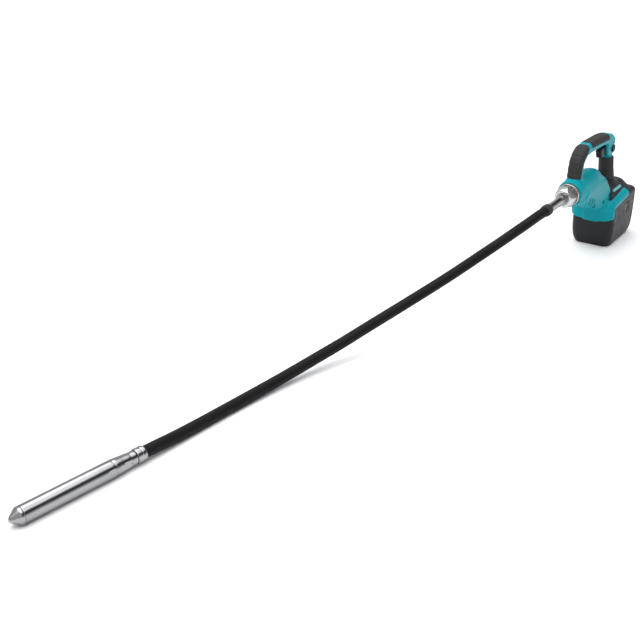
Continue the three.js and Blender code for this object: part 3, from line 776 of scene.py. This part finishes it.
def woven_rubber(name, dark, light):
    """Hose skin: rubber that keeps the print of the cloth it was cured in."""
    n = Nodes(name)
    skin = n.add("ShaderNodeUVMap", uv_map="length").outputs["UV"]
    split = n.add("ShaderNodeSeparateXYZ")
    n.link(skin, split.inputs["Vector"])
    turns, run = split.outputs["X"], split.outputs["Y"]
    waves = []
    for slant in (2600, -2600):
        around = n.maths("MULTIPLY", turns, 2 * math.pi * 26)
        phase = n.maths("ADD", around, n.maths("MULTIPLY", run, slant))
        waves.append(n.maths("SINE", phase))
    cloth = n.maths("MULTIPLY", waves[0], waves[1])
    n.link(n.tint(n.spread(n.noise(n.place, 12, 6), 0, 1), dark, light), n.shader.inputs["Base Color"])
    n.link(n.spread(n.noise(n.place, 60, 5), 0.44, 0.6), n.shader.inputs["Roughness"])
    n.bump(n.maths("ADD", cloth, n.noise(n.place, 700, 3)), 0.07)
    n.shader.inputs["Specular IOR Level"].default_value = 0.12
    return n.material


def metal(name, dark, light, rough, turn=0.0, brushed=(1, 1, 1), depth=0.01):
    """Bare metal with fine tool marks, finest along the axis that brushed stretches."""
    n = Nodes(name)
    marks = n.noise(n.scaled(brushed, turn), 60, 8, 0.65)
    cloud = n.noise(n.place, 22, 6)
    n.link(n.tint(n.spread(cloud, 0, 1), dark, light), n.shader.inputs["Base Color"])
    mixed = n.maths("ADD", n.spread(marks, rough - 0.05, rough + 0.07), n.spread(cloud, -0.03, 0.03))
    n.link(mixed, n.shader.inputs["Roughness"])
    n.bump(marks, depth)
    n.shader.inputs["Metallic"].default_value = 1.0
    return n.material


def board_material():
    """Circuit board lacquer over faint copper tracks."""
    n = Nodes("circuit_board")
    tracks = n.add("ShaderNodeTexBrick")
    tracks.inputs["Scale"].default_value = 260
    n.link(n.place, tracks.inputs["Vector"])
    tracks.inputs["Color1"].default_value = (0.03, 0.14, 0.06, 1)
    tracks.inputs["Color2"].default_value = (0.04, 0.18, 0.08, 1)
    tracks.inputs["Mortar"].default_value = (0.1, 0.25, 0.1, 1)
    n.link(tracks.outputs["Color"], n.shader.inputs["Base Color"])
    n.shader.inputs["Roughness"].default_value = 0.4
    return n.material


HEAD_TURN = math.atan2(-0.155, 1)
LATHE = (14, 0.6, 0.6)
looks = {
    # name, dark and light tint, roughness, grain pitch, grain depth, gloss
    look: plastic(look, *values) for look, *values in (
        ("teal_plastic", (0.0002, 0.225, 0.265), (0.0005, 0.265, 0.31), 0.36, 0.9, 0.012, 0.1),
        ("charcoal_plastic", (0.009, 0.009, 0.011), (0.014, 0.014, 0.017), 0.5, 0.8, 0.03),
        ("black_plastic", (0.005, 0.005, 0.0055), (0.009, 0.009, 0.01), 0.42, 0.8, 0.02),
        ("label_film", (0.1, 0.36, 0.38), (0.15, 0.42, 0.44), 0.42, 1.5, 0.01),
    )
}
looks |= {
    # name, dark and light tint, roughness, turn and stretch of the marks, their depth
    look: metal(look, *values) for look, *values in (
        ("polished_steel", (0.27, 0.27, 0.275), (0.33, 0.33, 0.335), 0.14, -HEAD_TURN, LATHE, 0.005),
        ("machined_steel", (0.46, 0.46, 0.46), (0.56, 0.56, 0.56), 0.28, 0, LATHE, 0.005),
        ("cast_aluminium", (0.44, 0.42, 0.4), (0.56, 0.54, 0.52), 0.42, 0, (4, 4, 4), 0.05),
        ("copper_winding", (0.55, 0.24, 0.12), (0.7, 0.33, 0.17), 0.35, 0, (1, 24, 24), 0.2),
        ("contact_brass", (0.6, 0.42, 0.16), (0.72, 0.52, 0.22), 0.3, 0, (8, 1, 1)),
    )
}
looks["soft_rubber"] = rubber("soft_rubber", (0.02, 0.019, 0.02), (0.03, 0.028, 0.029), 0.66, 1.3)
looks["hose_rubber"] = woven_rubber("hose_rubber", (0.003, 0.003, 0.0032), (0.006, 0.006, 0.0065))
looks["circuit_board"] = board_material()


def finish_piece(made, look, body, *nodes):
    made.data.materials.clear()
    made.data.materials.append(looks[look])
    if nodes:
        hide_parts(*nodes)
    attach(made, body)
    return made


# ---- hose --------------------------------------------------------------------------------
hose, hose_path = tube("rubber_hose", spline(HOSE_ROUTE, 10), HOSE_RADIUS, 36, 2.5)
finish_piece(hose, "hose_rubber", "machine", "hose")

MOTOR_AXIS = Matrix.Translation((0, 0, MOTOR_Z))
HOSE_END = Vector(HOSE_ROUTE[-1])
HEAD_AXIS = Matrix.Translation(HOSE_END) @ Matrix.Rotation(HEAD_TURN, 4, "Z")

hose_start = HOSE_ROUTE[0][0]
collar = turned("hose_collar", [
    (hose_start - 5, 9.6), (hose_start - 5, 11.0), (hose_start - 2, 12.0), (hose_start + 7, 12.2),
    (hose_start + 13, 11.6), (hose_start + 16.5, 10.4), (hose_start + 16.5, 10.1), (hose_start - 5, 9.6),
], MOTOR_AXIS, ease=1.2)
finish_piece(collar, "soft_rubber", "machine")

# ---- vibrating head ----------------------------------------------------------------------
HEAD_RADIUS = 14.6
COUPLING_END = 51
TUBE_END = COUPLING_END + 160
ferrule = turned("hose_crimp", [
    (-10, 10.6), (-10, 12.2), (-8.8, 12.8), (-3.6, 12.8), (-2.8, 12.4), (-2, 12.8), (6, 12.8), (7, 12.2),
    (7, 10.6), (-10, 10.6),
], HEAD_AXIS, ease=0.4)
finish_piece(ferrule, "polished_steel", "machine", "hose_ferrule")

coupling = turned("head_adapter", [
    (0.5, 5.2), (0.5, 9.4), (7.4, 9.6), (7.4, 10.9), (8.4, 11.8), (19, 11.9), (20.6, 12.3), (33.4, 13.2),
    (35, 13.4), (42, 14.0), (COUPLING_END - 3, 14.5), (COUPLING_END - 2.3, 13.8),
    (COUPLING_END - 0.4, 13.8),
    (COUPLING_END - 0.4, 11), (COUPLING_END + 12, 11), (COUPLING_END + 12, 5.2), (0.5, 5.2),
], HEAD_AXIS, flats=[(20.5, 33.5, 11.4, a) for a in (0, math.pi)], ease=0.5)
finish_piece(coupling, "polished_steel", "machine", "head_coupling")

flat_from = COUPLING_END + 1
head_tube = turned("head_barrel", [
    (COUPLING_END, 11.3), (COUPLING_END, HEAD_RADIUS), (TUBE_END - 1, HEAD_RADIUS), (TUBE_END, 14.2),
    (TUBE_END, 11.3), (COUPLING_END, 11.3),
], HEAD_AXIS, sides=128, flats=[(flat_from, flat_from + 8, 13.0, a) for a in (0, math.pi)])
finish_piece(head_tube, "polished_steel", "machine", "head_tube")

nose = [
    (TUBE_END - 14, 0), (TUBE_END - 14, 11), (TUBE_END + 0.3, 11), (TUBE_END + 0.3, 14.1),
    (TUBE_END + 1, 14.6),
    (TUBE_END + 3.6, 14.5), (TUBE_END + 5.6, 13.6), (TUBE_END + 15.4, 6.4), (TUBE_END + 17.4, 4.9),
    (TUBE_END + 19.2, 2.8), (TUBE_END + 20, 0),
]
head_tip = turned("head_nose", nose, HEAD_AXIS, sides=128)
finish_piece(head_tip, "polished_steel", "machine", "head_tip")

# ---- nose of the motor unit --------------------------------------------------------------
flange_front = flange_high[0]
flange_radius = flange_high[1]
flange = turned("nose_ring", [
    (flange_low[0], 11.9), (flange_low[0], flange_radius), (flange_front - 1, flange_radius),
    (flange_front, flange_radius - 0.6), (flange_front, flange_radius - 1.6),
    (flange_front - 4, flange_radius - 2.8), (flange_front - 4.4, 20), (flange_front - 2.6, 19.2),
    (flange_front - 4.4, 18.4), (flange_front - 4.4, 16), (flange_front - 1, 15),
    (flange_front - 1, 7), (flange_front - 6, 7), (flange_front - 6, 11.9), (flange_low[0], 11.9),
], MOTOR_AXIS, sides=128)
finish_piece(flange, "cast_aluminium", "machine", "nose_flange")

nut_front = nut_high[0]
nut_radius = nut_high[1]
sleeve_radius = 9.3
NUT_FLATS = [
    (247, nut_front + 1, 18.5 if k % 3 == 0 else 21.4, 0.7 + k * math.pi / 3) for k in range(6)
]
nut = turned("union_nut", [
    (nut_low[0], 12.3), (nut_low[0], 14.5), (248, 15), (248, nut_radius - 0.8), (249, nut_radius),
    (255, nut_radius), (nut_front - 4, 20.2), (nut_front - 1, 18.6), (nut_front, 17.4), (nut_front, 13.2),
    (nut_front - 2, 12.4), (nut_front - 2.4, sleeve_radius + GAP), (nut_front - 4, sleeve_radius + GAP),
    (nut_front - 4, 12.3), (nut_low[0], 12.3),
], MOTOR_AXIS, sides=144, flats=NUT_FLATS, ease=0.5)
finish_piece(nut, "machined_steel", "machine", "coupling_nut")

sleeve_front = sleeve_high[0]
sleeve = turned("drive_sleeve", [
    (sleeve_low[0], 6.6), (sleeve_low[0], 11.9), (nut_front - 4.4, 11.9),
    (nut_front - 4.4, sleeve_radius), (nut_front + 9, sleeve_radius),
    (nut_front + 9.6, sleeve_radius - 0.5), (nut_front + 11, sleeve_radius - 0.5),
    (nut_front + 11.6, sleeve_radius), (hose_start - 0.6, sleeve_radius), (hose_start - 0.6, 4.9),
    (sleeve_front, 4.9), (sleeve_front, 4.4), (hose_start - 2, 4.4), (hose_start - 4, 6.6),
    (sleeve_low[0], 6.6),
], MOTOR_AXIS, ease=0.4)
finish_piece(sleeve, "polished_steel", "machine", "hose_sleeve")

# ---- housing, grips and battery case -----------------------------------------------------
fine = 1.0
left, right_half = halves(
    ("shell_left", "shell_right"), housing, ("housing_left", "housing_right"), 1.5 * fine,
)
finish_piece(left, "teal_plastic", "machine", "housing_left")
finish_piece(right_half, "teal_plastic", "machine", "housing_right")
for name, field, node, look, body, step in (
    ("front_grip_pad", front_cover, "front_grip_cover", "soft_rubber", "machine", 1.0),
    ("top_grip_pad", top_cover, "top_grip_cover", "soft_rubber", "machine", 1.1),
    ("rear_grip_pad", rear_cover, "rear_grip_cover", "soft_rubber", "machine", 0.9),
    ("grip_saddle", foot, "grip_foot", "charcoal_plastic", "machine", 1.3),
    ("case_shell", battery_case, "battery_case", "charcoal_plastic", "machine", 1.4),
    ("cover_shell", battery_cover, "battery_cover", "charcoal_plastic", "battery_door", 1.4),
    ("latch_lever", latch, "cover_latch", "black_plastic", "latch", 0.5),
    ("trigger_lever", trigger, "trigger", "black_plastic", "trigger", 0.7),
):
    finish_piece(moulded(name, field, [node], step * fine), look, body, node)

def axis_across(low, high):
    """Frame of a turned piece whose axis runs along Y through the middle of a box."""
    middle = Vector(((low[0] + high[0]) / 2, 0, (low[2] + high[2]) / 2))
    return Matrix.Translation(middle) @ Matrix.Rotation(math.pi / 2, 4, "Z")


button_face = button_high[1]
button = turned("lock_knob", [
    (3, 0), (3, 3), (9, 3), (9, BUTTON_RADIUS), (button_face - 1, BUTTON_RADIUS),
    (button_face - 0.2, BUTTON_RADIUS - 1), (button_face - 0.9, BUTTON_RADIUS - 2.4),
    (button_face - 0.2, 4.6), (button_face - 0.9, 3.2), (button_face - 0.1, 2.2), (button_face, 0),
], axis_across(button_low, button_high), sides=64, ease=0.5)
finish_piece(button, "black_plastic", "lock_button", "lock_button")

for k in (1, 2, 3):
    low, high = box_mm(f"housing_screw_{k}")
    top = high[1]
    screw = turned(f"case_screw_{k}", [
        (low[1], 0), (low[1] + 1, 1.9), (top - 3, 1.9), (top - 2.8, 3.4), (top - 0.6, 3.4), (top, 2.8),
        (top, 1.9), (top - 1.6, 1.6), (top - 1.9, 0),
    ], axis_across(low, high), sides=36, ease=0.25)
    finish_piece(screw, "machined_steel", "machine", f"housing_screw_{k}")

# ---- pieces that keep their CAD shape ----------------------------------------------------
kept_looks = {
    "polished_steel": ("cover_hinge_pin", "latch_pin", "trigger_spring", "rear_motor_bearing",
                       "front_motor_bearing", "rear_head_bearing", "front_head_bearing"),
    "machined_steel": ("motor_can", "motor_rotor", "flexible_shaft", "eccentric_rotor"),
    "black_plastic": ("battery_pack", "pack_rail", "pack_cradle", "trigger_switch", "cooling_fan"),
    "charcoal_plastic": ("rear_bearing_holder",),
    "copper_winding": ("motor_stator",),
    "contact_brass": ("terminal_block",),
    "circuit_board": ("controller_board",),
    "soft_rubber": ("head_seal",),
    "label_film": ("label_plate",),
}
for look, nodes in kept_looks.items():
    for node in nodes:
        shape = frame_nodes[node]
        shape.data.materials.clear()
        shape.data.materials.append(looks[look])

# ---- floor and light ---------------------------------------------------------------------
floor_mesh = bpy.data.meshes.new("floor")
reach = 12
corners = [(-reach, -reach, 0), (reach, -reach, 0), (reach, reach, 0), (-reach, reach, 0)]
floor_mesh.from_pydata(corners, [], [(0, 1, 2, 3)])
floor = bpy.data.objects.new("floor", floor_mesh)
bpy.context.scene.collection.objects.link(floor)
floor_look = Nodes("pale_floor")
floor_look.shader.inputs["Base Color"].default_value = (0.86, 0.86, 0.87, 1)
floor_look.shader.inputs["Roughness"].default_value = 0.9
floor_mesh.materials.append(floor_look.material)


def soft_light(name, place, target, size, watts):
    data = bpy.data.lights.new(name, "AREA")
    data.shape = "RECTANGLE"
    data.size, data.size_y = size
    data.energy = watts
    light = bpy.data.objects.new(name, data)
    light.location = place
    light.rotation_mode = "QUATERNION"
    light.rotation_quaternion = (Vector(target) - Vector(place)).to_track_quat("-Z", "Y")
    bpy.context.scene.collection.objects.link(light)


MIDDLE = (0.7, -0.1, 0.08)
soft_light("key", (1.9, 0.4, 2.6), MIDDLE, (1.4, 1.4), 10)
soft_light("overhead", (0.9, -0.9, 2.3), MIDDLE, (2.4, 1.2), 26)

# White studio, brightest overhead, with a dark screen beside the steel head.
world = bpy.data.worlds.new("studio")
bpy.context.scene.world = world
world.use_nodes = True
sky = world.node_tree
background = sky.nodes["Background"]
spot = sky.nodes.new("ShaderNodeTexCoord")
split = sky.nodes.new("ShaderNodeSeparateXYZ")
sky.links.new(spot.outputs["Generated"], split.inputs["Vector"])
toward = sky.nodes.new("ShaderNodeVectorMath")
toward.operation = "DOT_PRODUCT"
sky.links.new(spot.outputs["Generated"], toward.inputs[0])
toward.inputs[1].default_value = (-0.5, 0.866, 0)


def sky_step(value, start, end, first, last):
    node = sky.nodes.new("ShaderNodeMapRange")
    node.interpolation_type = "SMOOTHSTEP"
    sky.links.new(value, node.inputs["Value"])
    for key, number in (("From Min", start), ("From Max", end), ("To Min", first), ("To Max", last)):
        node.inputs[key].default_value = number
    return node.outputs["Result"]


def sky_maths(operation, a, b):
    node = sky.nodes.new("ShaderNodeMath")
    node.operation = operation
    sky.links.new(a, node.inputs[0])
    sky.links.new(b, node.inputs[1])
    return node.outputs["Value"]


height = split.outputs["Z"]
screen = sky_maths("MULTIPLY", sky_step(height, 0.2, 0.3, 0, 1), sky_step(height, 0.62, 0.74, 1, 0))
screen = sky_maths("MULTIPLY", screen, sky_step(toward.outputs["Value"], 0.3, 0.5, 0, 1))
roof = sky_step(height, 0.7, 0.82, 0.78, 2.5)
glow = sky_maths("MULTIPLY", roof, sky_step(screen, 0, 1, 1, 0.12))
sky.links.new(glow, background.inputs["Strength"])
background.inputs["Color"].default_value = (0.985, 0.99, 1, 1)
bpy.context.scene.view_settings.view_transform = "Standard"
